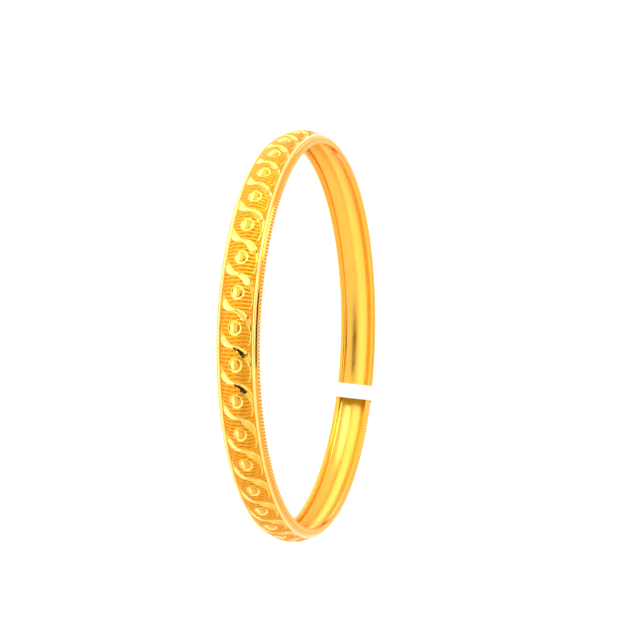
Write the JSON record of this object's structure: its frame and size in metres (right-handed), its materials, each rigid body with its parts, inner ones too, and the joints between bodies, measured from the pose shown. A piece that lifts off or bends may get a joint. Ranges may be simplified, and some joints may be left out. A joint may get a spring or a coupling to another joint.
{
  "type": "bangle bracelet",
  "caption": "Rigid closed round bangle with a domed, hollow-backed engraved band, border rails, beaded edge wires and a film tag looped round it.",
  "frame": {"origin": "centre of the wrist opening, midway between the two edges of the band", "axes": "+Z along the ring's axis towards the front edge, with the bangle lying flat; +X is the direction from which the tag stands 21 degrees clockwise, seen from +Z"},
  "size_m": [0.076, 0.0648, 0.0068],
  "materials": {
    "engraved_gold": "polished yellow gold, bright-cut engraving",
    "beaded_gold": "polished yellow gold, beaded",
    "polished_gold": "mirror-polished yellow gold",
    "tag_film": "white satin film"
  },
  "bodies": {
    "bangle": {"face_band": "engraved_gold", "front_edge_wire": "beaded_gold", "rear_edge_wire": "beaded_gold", "front_border_rail": "polished_gold", "rear_border_rail": "polished_gold"},
    "tag_loop": {"tag_strap": "tag_film"},
    "tag_flap": {"tag_label": "tag_film"}
  },
  "joints": [
    {"name": "tag_slide_round", "type": "hinge", "parent": "bangle", "child": "tag_loop", "pos_m": [0, 0, 0], "axis": [0, 0, 1], "continuous": true},
    {"name": "tag_flap_fold", "type": "hinge", "parent": "tag_loop", "child": "tag_flap", "pos_m": [0.03113, -0.01195, 0], "axis": [0.3584, 0.9336, 0], "range_deg": [-80, 80]}
  ]
}
